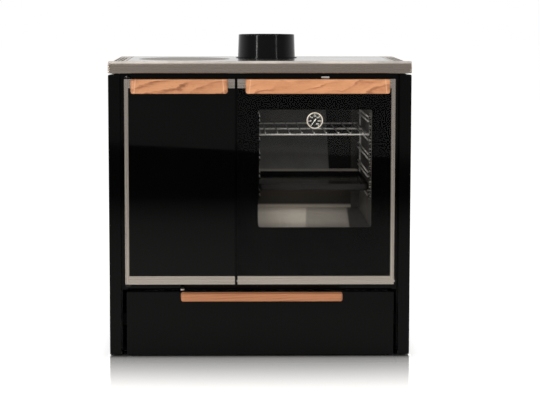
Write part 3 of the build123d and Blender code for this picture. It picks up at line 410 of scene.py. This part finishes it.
def bricks(tree):
    """Refractory brick: coarse grit in sandy tones."""
    grit = noise(tree, coords(tree), 300.0, 5.0, 0.75)
    tint = noise(tree, coords(tree), 14.0, 4.0)
    colour = ramp(tree, weighed(tree, (grit, 0.4), (tint, 0.6)),
                  ((0.3, (0.42, 0.31, 0.21)), (0.55, (0.60, 0.48, 0.35)), (0.75, (0.70, 0.60, 0.47))))
    return {"Base Color": colour, "Roughness": 0.95, "Normal": bump(tree, grit, 0.6, 0.001)}


def spangle(tree):
    """Galvanised sheet: crystals of different greys."""
    cells = put(tree, "ShaderNodeTexVoronoi", {"Vector": coords(tree), "Scale": 55.0}, feature="F1")
    tone = put(tree, "ShaderNodeSeparateColor", {"Color": cells.outputs["Color"]}).outputs[0]
    fine = noise(tree, coords(tree), 300.0, 2.0)
    return {"Base Color": tones(tree, tone, (0.36, 0.37, 0.38), (0.56, 0.57, 0.58), (0.1, 0.9)),
            "Metallic": 1.0, "Roughness": spread(tree, tone, 0.32, 0.46),
            "Normal": bump(tree, fine, 0.06, 0.0003)}


def rope(tree):
    """Woven seal: slanting strands with fuzz."""
    weave = put(tree, "ShaderNodeTexWave", {"Vector": coords(tree, turn=(0, 45, 0)), "Scale": 90.0,
                                            "Distortion": 1.5, "Detail": 1.0}).outputs["Fac"]
    fuzz = noise(tree, coords(tree), 900.0, 2.0)
    return {"Base Color": tones(tree, weave, (0.10, 0.095, 0.09), (0.21, 0.20, 0.19), (0.2, 0.8)),
            "Roughness": 0.95, "Normal": bump(tree, add(tree, weave, fuzz), 0.6, 0.0008)}


def handled(tree, where, colour, low, high, darker):
    """A handle darkened by the share darker between low and high x, and a painted highlight line near its two
    ends.
    """
    half = (high - low) / 2
    out = single(tree, "ABSOLUTE", less(tree, where["X"], (low + high) / 2))
    inside = below(tree, out, half + 0.001)
    colour = mixed(tree, times(tree, inside, darker), colour, BLACK)
    # painted highlight of the rounded ends
    leaning = add(tree, out, times(tree, less(tree, where["Z"], BARS_Z), BEVEL_LEAN))
    off_line = single(tree, "ABSOLUTE", less(tree, leaning, half - BEVEL_IN))
    bevel = times(tree, spread(tree, off_line, 0.30, 0.0, 0.0006, 0.0022), inside)
    return mixed(tree, bevel, colour, BEVEL_HIGHLIGHT)


# brightness across one growth line of the wood
GROWTH_LINE = ((0.0, 1.0), (0.30, 0.92), (0.58, 0.60), (0.80, 0.10), (0.92, 0.40), (1.0, 1.0))


def timber(light, mid, dark, slope, pitch, wander, shift, bars=()):
    """Oiled wood along X: growth lines a pitch apart that climb to the right and wander, with pores
    and fibres. Shift moves the lines by a share of the pitch. Bars are drawn by handled()."""
    def build(tree):
        where = place(tree)
        rise = add(tree, times(tree, where["Z"], math.cos(math.radians(slope))),
                   times(tree, where["X"], -math.sin(math.radians(slope))), times(tree, where["Y"], 0.25))
        drift = drawn(tree, (9, 9, 24), 4.0, 0.55, 0.4)
        phase = add(tree, over(tree, rise, pitch), times(tree, less(tree, drift, 0.5), wander), 50.0 + shift)
        line = ramp(tree, single(tree, "FRACT", phase), GROWTH_LINE)
        hold = drawn(tree, (10, 14, 36), 2.0)
        line = mixed(tree, spread(tree, hold, 0.12, 1.0, 0.38, 0.62), grey(0.78), line)

        turn = (0, slope * 0.5, 0)
        fibre = drawn(tree, (18, 900, 900), 3.0, 0.6, turn=turn)
        pores = drawn(tree, (80, 1600, 1600), 2.0, 0.5, turn=turn)
        cloud = drawn(tree, (7, 30, 30), 2.0)
        tone = weighed(tree, (line, 0.52), (fibre, 0.30), (cloud, 0.24))
        colour = ramp(tree, tone, ((0.25, dark), (0.55, mid), (0.84, light)))
        colour = mixed(tree, spread(tree, pores, 0.0, 0.45, 0.62, 0.74), colour, scaled(dark, 0.6))
        for bar in bars:
            colour = handled(tree, where, colour, *bar)
        relief = add(tree, fibre, times(tree, pores, 0.5))
        return {"Base Color": colour, "Roughness": varied(tree, fibre, 0.40, 0.56),
                "Specular IOR Level": 0.3, "Coat Weight": 0.08, "Coat Roughness": 0.35,
                "Normal": bump(tree, relief, 0.12, 0.0004)}
    return build


def clear(alpha, tint, specular):
    """Glass pane: mostly see-through, with a faint body tint and a clean reflection."""
    def build(tree):
        smear = noise(tree, coords(tree), 9.0, 3.0)
        return {"Base Color": tones(tree, smear, grey(tint * 0.9), grey(tint)), "Alpha": alpha,
                "Roughness": varied(tree, smear, 0.008, 0.02), "Specular IOR Level": specular}
    return build


def wire(crossing=1.0, shaded_posts_ahead=None):
    """Bright drawn wire; wires that run front to back keep the share crossing of the tone, the rest being
    painted shade.
    Posts ahead of the given plane of y are black, a painted shade, on the right with painted glints."""
    def build(tree):
        fine = noise(tree, coords(tree), 260.0, 3.0)
        colour = tones(tree, fine, (0.80, 0.775, 0.72), (0.94, 0.92, 0.87))
        metal = 0.35
        # painted shade on the wires that run front to back
        if crossing < 1.0:
            front_to_back = below(tree, single(tree, "ABSOLUTE", facing(tree)["Y"]), 0.05)
            colour = mixed(tree, times(tree, front_to_back, 1.0 - crossing), colour, BLACK)
        # painted shade on the front posts, with painted glints on the right ones
        if shaded_posts_ahead is not None:
            where = place(tree)
            ahead = below(tree, where["Y"], shaded_posts_ahead)
            painted_glints = times(tree, spread(tree, drawn(tree, (60, 60, 190), 2.0), 0.0, 1.0, 0.47, 0.62),
                          above(tree, where["X"], LADDER_RIGHT))
            posts = mixed(tree, painted_glints, grey(0.002), (0.60, 0.57, 0.52))
            colour = mixed(tree, ahead, colour, posts)
            metal = spread(tree, ahead, 0.35, 0.0)
        return {"Base Color": colour, "Metallic": metal, "Specular IOR Level": 0.04,
                "Roughness": varied(tree, fine, 0.24, 0.34), "Normal": bump(tree, fine, 0.02, 0.0003)}
    return build


def knob(shade_from):
    """Chrome turned knob, painted dark above the height it is split at: a painted reflection of the dark
    ledge above it.
    """
    def build(tree):
        fine = noise(tree, coords(tree), 260.0, 3.0)
        chrome = tones(tree, fine, (0.74, 0.74, 0.74), (0.86, 0.86, 0.85))
        # painted reflection: dark above this height
        upper = edge(tree, place(tree)["Z"], shade_from, 0.0008)
        return {"Base Color": mixed(tree, upper, chrome, grey(0.012)), "Metallic": 1.0,
                "Roughness": varied(tree, fine, 0.10, 0.18)}
    return build


looks = {
    "trim_steel": brushed((0.50, 0.445, 0.39), (0.62, 0.555, 0.495), 0.26, bumps=0.015,
                          upright_from=TRIM_UPRIGHT),
    "hob_steel": brushed((0.385, 0.33, 0.285), (0.43, 0.37, 0.32), 0.26, bumps=0.01,
                         top=(0.40, 0.375, 0.345)),
    "liner_steel": brushed((0.42, 0.40, 0.37), (0.62, 0.60, 0.56), 0.32, along="z"),
    "nose_steel": satin((0.48, 0.44, 0.405), 0.5, 0.2, bumps=0.02),
    "oven_steel": oven_lining,
    "plate_steel": ground((0.30, 0.295, 0.29), (0.40, 0.395, 0.385), 0.20, metallic=1.0),
    "ring_steel": ground((0.112, 0.097, 0.083), (0.165, 0.144, 0.124), 0.46, metallic=0.0),
    "gloss_black": gloss(grey(0.0008), 0.045, 0.13),
    "door_glass": gloss(grey(0.0005), 0.012, 0.18, ripple=0.0, ripple_scale=12.0),
    "mask_black": gloss(grey(0.0005), 0.012, 0.07, ripple=0.0, ripple_scale=12.0),
    "collar_black": gloss((0.0012, 0.0012, 0.0013), 0.12, 0.16, ripple=0.02, ripple_scale=70.0),
    "enamel": tray_enamel,
    "black_steel": satin(grey(0.006), 0.5),
    "runner_black": satin(grey(0.0015), 0.6, 0.05),
    "foot_plastic": satin(grey(0.012), 0.6),
    "cast_iron": castings,
    "firebrick": bricks,
    "galvanised": spangle,
    "seal_rope": rope,
    "chrome": satin(grey(0.74), 0.14, 0.5, grain=260.0, bumps=0.02, metallic=1.0),
    "air_chrome": knob(KNOB_SHADE_FROM),
    "shelf_wire": wire(crossing=0.22),
    "ladder_wire": wire(shaded_posts_ahead=LADDER_POSTS),
    "bezel": satin((0.86, 0.79, 0.69), 0.28, 0.5, grain=200.0, bumps=0.04, metallic=0.15),
    "dial_face": satin(grey(0.008), 0.6),
    "needle_paint": satin((0.86, 0.84, 0.77), 0.45),
    "print_white": satin((0.90, 0.87, 0.80), 0.6),
    "clear_glass": clear(0.10, 0.002, 1.0),
    "inner_glass": clear(0.05, 0.002, 0.5),
    "lens_glass": clear(0.03, 0.02, 0.5),
    "handle_wood": timber((0.67, 0.32, 0.158), (0.50, 0.215, 0.100), (0.20, 0.070, 0.030),
                          slope=15.0, pitch=0.027, wander=3.0, shift=0.3, bars=HANDLE_BARS),
    "drawer_wood": timber((0.47, 0.205, 0.098), (0.385, 0.155, 0.071), (0.28, 0.104, 0.047),
                          slope=2.5, pitch=0.008, wander=1.2, shift=0.4),
}
made = {name: material(name, build) for name, build in looks.items()}

finish = {
    "trim_steel": ("fire_door_trim", "oven_door_trim"),
    "hob_steel": ("hob_frame",),
    "plate_steel": ("hob_plate",),
    "ring_steel": ("hob_ring", "hob_lid"),
    "oven_steel": ("oven_box",),
    "liner_steel": ("oven_door_liner",),
    "gloss_black": ("side_panel_left", "side_panel_right", "drawer_front", "front_frame"),
    "door_glass": ("fire_door_glass",),
    "mask_black": ("oven_door_mask",),
    "collar_black": ("flue_collar",),
    "enamel": ("baking_tray",),
    "black_steel": ("body_shell", "back_panel", "firebox_shell", "flue_box", "fire_hinge_brackets",
                    "fire_hinge_pins", "oven_hinge_ears", "fire_door_pan", "fire_door_liner",
                    "oven_door_pan", "damper_slide"),
    "runner_black": ("base_pan", "drawer_runners", "drawer_slides"),
    "foot_plastic": ("levelling_feet",),
    "cast_iron": ("fire_bed", "fire_grate", "log_guard"),
    "firebrick": ("firebricks",),
    "galvanised": ("mid_deck", "ash_pan", "catch_keeper", "fire_door_catch", "oven_glass_clips", "drawer_box",
                   "air_slide"),
    "seal_rope": ("fire_door_seal", "oven_door_seal"),
    "chrome": ("oven_hinge_pins", "damper_knob"),
    "air_chrome": ("air_knob",),
    "shelf_wire": ("wire_shelf",),
    "ladder_wire": ("oven_ladders",),
    "bezel": ("thermometer_case",),
    "dial_face": ("thermometer_dial",),
    "needle_paint": ("thermometer_needle",),
    "clear_glass": ("oven_door_glass",),
    "inner_glass": ("oven_inner_glass",),
    "lens_glass": ("thermometer_lens",),
    "handle_wood": ("fire_door_handle", "oven_door_handle"),
    "drawer_wood": ("drawer_handle",),
}
for look, names in finish.items():
    for name in names:
        mesh = nodes[name].data
        mesh.materials.clear()
        mesh.materials.append(made[look])


# ---------------------------------------------------------------- small pieces
def piece(name, verts, faces, look, body):
    mesh = bpy.data.meshes.new(name)
    mesh.from_pydata(verts, [], faces)
    mesh.update()
    mesh.materials.append(made[look])
    o = bpy.data.objects.new(name, mesh)
    scene.collection.objects.link(o)
    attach(o, body)
    return o


def lofted(name, rings, look, body):
    """Piece through rings with equal numbers of points: smooth between the rings, flat at its ends."""
    count, last = len(rings[0]), len(rings) - 1
    faces = []
    for row in range(last):
        for k in range(count):
            k2 = (k + 1) % count
            faces.append((row * count + k, row * count + k2, (row + 1) * count + k2, (row + 1) * count + k))
    faces += [tuple(reversed(range(count))), tuple(range(last * count, (last + 1) * count))]
    o = piece(name, [point for ring in rings for point in ring], faces, look, body)
    for polygon in o.data.polygons:
        polygon.use_smooth = len(polygon.vertices) == 4


def turned(name, at, axis, profile, segments, look, body):
    """Turned piece: (radius, height) pairs swept round an axis that starts at a point."""
    turn = Vector((0, 0, 1)).rotation_difference(Vector(axis)).to_matrix()
    angles = [2 * math.pi * k / segments for k in range(segments)]
    rings = [[tuple(Vector(at) + turn @ Vector((r * math.cos(a), r * math.sin(a), h))) for a in angles]
             for r, h in profile]
    lofted(name, rings, look, body)


# printed scale of the oven thermometer
dial_low, dial_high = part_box("thermometer_dial")
dial_at = (dial_low + dial_high) / 2
dial_r = (dial_high.x - dial_low.x) / 2
INK = 0.00006                # thickness of the print
SCALE_START = 215.0          # clockwise from the top
SCALE_SWEEP = 290.0
TICKS = 30
LONG_EVERY = 5
LONG_TICK = (0.0007, 0.78)   # half width, and inner end as a share of the dial's radius
SHORT_TICK = (0.0003, 0.86)
TICK_OUTER = 0.96
NUMBERS = 7
NUMBER_STEP = 50
NUMBER_SIZE = 0.0056
NUMBER_BOLD = 0.00012        # strokes are this much wider to each side
NUMBER_AT = 0.60             # share of the dial's radius
BOX_FACES = ((0, 1, 2, 3), (7, 6, 5, 4), (0, 4, 5, 1), (1, 5, 6, 2), (2, 6, 7, 3), (3, 7, 4, 0))

ticks_v, ticks_f = [], []
for n in range(TICKS + 1):
    a = math.radians(SCALE_START + SCALE_SWEEP * n / TICKS)
    half, inner = SHORT_TICK if n % LONG_EVERY else LONG_TICK
    out = Vector((math.sin(a), 0, math.cos(a)))
    side = Vector((math.cos(a), 0, -math.sin(a))) * half
    near, far = out * dial_r * inner, out * dial_r * TICK_OUTER
    corners = (near - side, far - side, far + side, near + side)
    base = len(ticks_v)
    for y in (dial_low.y - INK, dial_low.y):
        ticks_v += [(dial_at.x + c.x, y, dial_at.z + c.z) for c in corners]
    ticks_f += [[base + i for i in f] for f in BOX_FACES]
piece("dial_ticks", ticks_v, ticks_f, "print_white", "oven_door")

for n in range(NUMBERS):
    a = math.radians(SCALE_START + SCALE_SWEEP * n / (NUMBERS - 1))
    away = dial_r * NUMBER_AT
    text = bpy.data.curves.new(f"dial_number_{n}", "FONT")
    text.body = str(n * NUMBER_STEP)
    text.size = NUMBER_SIZE
    text.extrude = INK / 2
    text.offset = NUMBER_BOLD
    text.align_x, text.align_y = "CENTER", "CENTER"
    text.materials.append(made["print_white"])
    o = bpy.data.objects.new(f"dial_number_{n}", text)
    o.location = (dial_at.x + math.sin(a) * away, dial_low.y - INK, dial_at.z + math.cos(a) * away)
    o.rotation_euler = (math.pi / 2, 0, 0)
    scene.collection.objects.link(o)
    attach(o, "oven_door")

# screws of the back panel
back_low, back_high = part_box("back_panel")
SCREW_IN = 0.019             # from the panel's sides
SCREW_UP = 0.020             # from its lower and upper edge
SCREW_SUNK = 0.0002
SCREW_HEAD = ((0.0045, 0.0), (0.0045, 0.0011), (0.0037, 0.0019), (0.0021, 0.0023), (0.0012, 0.0014))
for i, x in enumerate((back_low.x + SCREW_IN, 0.0, back_high.x - SCREW_IN)):
    for j, z in enumerate((back_low.z + SCREW_UP, (back_low.z + back_high.z) / 2, back_high.z - SCREW_UP)):
        turned(f"back_screw_{i}_{j}", (x, back_high.y - SCREW_SUNK, z), (0, 1, 0), SCREW_HEAD, 24,
               "galvanised", "stove")

# rounded ends of the shelf wires, standing on its front bar
shelf_low, shelf_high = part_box("wire_shelf")
SHELF_ENDS = 9
SHELF_PITCH = 0.0368
SHELF_BAR = 0.003            # middle of the front bar, from the shelf's front
SHELF_END = ((0.0017, -0.0010), (0.0019, 0.0004), (0.0017, 0.0018), (0.0010, 0.0026))
for i in range(SHELF_ENDS):
    x = (shelf_low.x + shelf_high.x) / 2 + (i - (SHELF_ENDS - 1) / 2) * SHELF_PITCH
    turned(f"shelf_end_{i}", (x, shelf_low.y + SHELF_BAR, shelf_high.z), (0, 0, 1), SHELF_END, 16,
           "shelf_wire", "stove")

# rounded nose along the front edge of the hob frame
hob_low, hob_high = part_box("hob_frame")
NOSE_TALL = 0.0076
NOSE_DEEP = 0.016
NOSE_STEPS = 16
NOSE_INSET = 0.0006          # from the frame's two ends
NOSE_BACK = 0.0002           # behind the frame's front
NOSE_SUNK = 0.0004           # into the frame's top
NOSE_POWER = 0.8             # below 1, the arch is fuller than round
NOSE_ENDS = ((0.0, 0.80), (0.0010, 0.95), (0.0032, 1.0))      # way in from an end, and size there


def nose_arch(x, size):
    angles = [math.pi * k / NOSE_STEPS for k in range(NOSE_STEPS + 1)]
    return [(x, hob_low.y + NOSE_BACK + NOSE_DEEP / 2 * (1 - math.cos(a) * size),
             hob_high.z - NOSE_SUNK + NOSE_TALL * size * math.sin(a) ** NOSE_POWER) for a in angles]


arches = [nose_arch(hob_low.x + NOSE_INSET + way, size) for way, size in NOSE_ENDS]
arches += [nose_arch(hob_high.x - NOSE_INSET - way, size) for way, size in reversed(NOSE_ENDS)]
lofted("hob_nose", arches, "nose_steel", "stove")

# bright cap over the upper hinge pin of the fire door
pin_low, pin_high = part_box("fire_hinge_pins")
pin_top = ((pin_low.x + pin_high.x) / 2, (pin_low.y + pin_high.y) / 2, pin_high.z)
CAP = ((0.0034, -0.0004), (0.0034, 0.0006), (0.0028, 0.0013), (0.0014, 0.0017))
turned("hinge_cap", pin_top, (0, 0, 1), CAP, 28, "chrome", "fire_door")


# ---------------------------------------------------------------- room
def background(tree, strength, colour=(1.0, 1.0, 1.0, 1.0)):
    return put(tree, "ShaderNodeBackground", {"Color": colour, "Strength": strength}).outputs[0]


def studio(tree):
    """Even light; shiny pieces see it darker behind the camera, and the camera sees plain white."""
    y = axes(tree, put(tree, "ShaderNodeTexCoord").outputs["Generated"])["Y"]
    mirrored = background(tree, spread(tree, y, FRONT_LEVEL, 1.0, -0.3, 0.3))
    lit = either(tree, light_path(tree, "Glossy"), background(tree, WORLD_LEVEL, WORLD_TINT), mirrored)
    return either(tree, light_path(tree, "Camera", "Transmission"), lit, background(tree, 1.0))


scene.world = shaded(bpy.data.worlds.new("studio"), "ShaderNodeOutputWorld", studio)


def sheet(name, corners, look):
    """Flat sheet of the studio."""
    mesh = bpy.data.meshes.new(name)
    mesh.from_pydata(corners, [], [(0, 1, 2, 3)])
    mesh.materials.append(look)
    o = bpy.data.objects.new(name, mesh)
    scene.collection.objects.link(o)
    return o


# half of the ground the stove stands on
box_low, box_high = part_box("hob_frame")
HALF = {"X": box_high.x, "Y": -box_low.y}


def white_floor(tree):
    """White floor: mirrors the stove less and less with the way from it, with a dark line of painted shadow
    where it stands. Its own white shows to the camera only, and shiny pieces see it shaded ahead of the
    stove."""
    where = place(tree)
    off_x, off_y = (larger(tree, less(tree, single(tree, "ABSOLUTE", where[axis]), half), 0.0)
                    for axis, half in HALF.items())
    off = single(tree, "SQRT", add(tree, times(tree, off_x, off_x), times(tree, off_y, off_y)))
    # painted contact shadow: a dark line along the stove's foot
    contact_shadow = spread(tree, off, 1.0, 0.0, 0.004, CONTACT_SHADOW_REACH)

    ahead = spread(tree, times(tree, where["Y"], -1.0), 0.0, 1.0, 0.0, SHADE_REACH)
    shade = times(tree, ramp(tree, ahead, FLOOR_SHADE), light_path(tree, "Glossy"))
    diffuse = put(tree, "ShaderNodeBsdfDiffuse", {"Color": mixed(tree, shade, FLOOR_WHITE, BLACK)})
    glow = times(tree, light_path(tree, "Camera", "Transmission"), less(tree, 1.0, contact_shadow), FLOOR_GLOW)
    own = put(tree, "ShaderNodeEmission", {"Strength": glow})
    lit = put(tree, "ShaderNodeAddShader", {0: diffuse.outputs[0], 1: own.outputs[0]})

    mirror = put(tree, "ShaderNodeBsdfGlossy", {"Color": (1, 1, 1, 1), "Roughness": 0.02})
    share = times(tree, larger(tree, ramp(tree, off, FLOOR_MIRROR), times(tree, contact_shadow, CONTACT_MIRROR)),
                  light_path(tree, "Camera"))
    return either(tree, share, lit.outputs[0], mirror.outputs[0])


h = FLOOR_HALF
floor = sheet("floor", [(-h, -h, 0), (h, -h, 0), (h, h, 0), (-h, h, 0)],
              shaded(bpy.data.materials.new("floor_white"), "ShaderNodeOutputMaterial", white_floor))


def floor_shade_sheet(tree):
    return {"Base Color": tones(tree, noise(tree, coords(tree), 3.0), 0.0004, 0.0012), "Roughness": 1.0,
            "Alpha": spread(tree, place(tree)["Y"], 1.0, 0.0, *BAND_FADE)}


# painted shade: a dark sheet for the shaded end of the studio, seen only as a band in the gloss of the doors
band = sheet("dark_band", BAND_CORNERS, material("floor_shade_sheet", floor_shade_sheet))
band.visible_camera = band.visible_diffuse = band.visible_transmission = band.visible_shadow = False


def lamp(name, at, aim, wide, deep, power, mirrored=False):
    """Rectangular lamp that the camera doesn't see; only a mirrored one shows in shiny pieces."""
    data = bpy.data.lights.new(name, "AREA")
    data.shape = "RECTANGLE"
    data.size, data.size_y = wide, deep
    data.energy = power
    data.color = LAMP_COLOUR
    o = bpy.data.objects.new(name, data)
    o.location = at
    o.rotation_euler = (Vector(aim) - Vector(at)).to_track_quat("-Z", "Y").to_euler()
    o.visible_camera = o.visible_transmission = False
    o.visible_glossy = mirrored
    scene.collection.objects.link(o)


lamp(*KEY_LAMP, mirrored=True)
for values in SOFT_LAMPS + OVEN_LAMPS:
    lamp(*values)
for name, azimuth, wide, power in STRIP_LAMPS:
    a = math.radians(azimuth)
    at = STRIP_AIM + Vector((math.sin(a), -math.cos(a), STRIP_RISE)) * STRIP_AWAY
    lamp(name, at, STRIP_AIM, wide, STRIP_TALL, power, mirrored=True)

camera_data = bpy.data.cameras.new("camera")
camera_data.lens = CAMERA_LENS
camera_data.sensor_width = CAMERA_SENSOR
camera_data.shift_x, camera_data.shift_y = CAMERA_SHIFT
camera = bpy.data.objects.new("camera", camera_data)
camera.location = CAMERA_AT
camera.rotation_euler = (math.radians(90 - CAMERA_PITCH), 0, -math.radians(CAMERA_YAW))
scene.collection.objects.link(camera)
scene.camera = camera
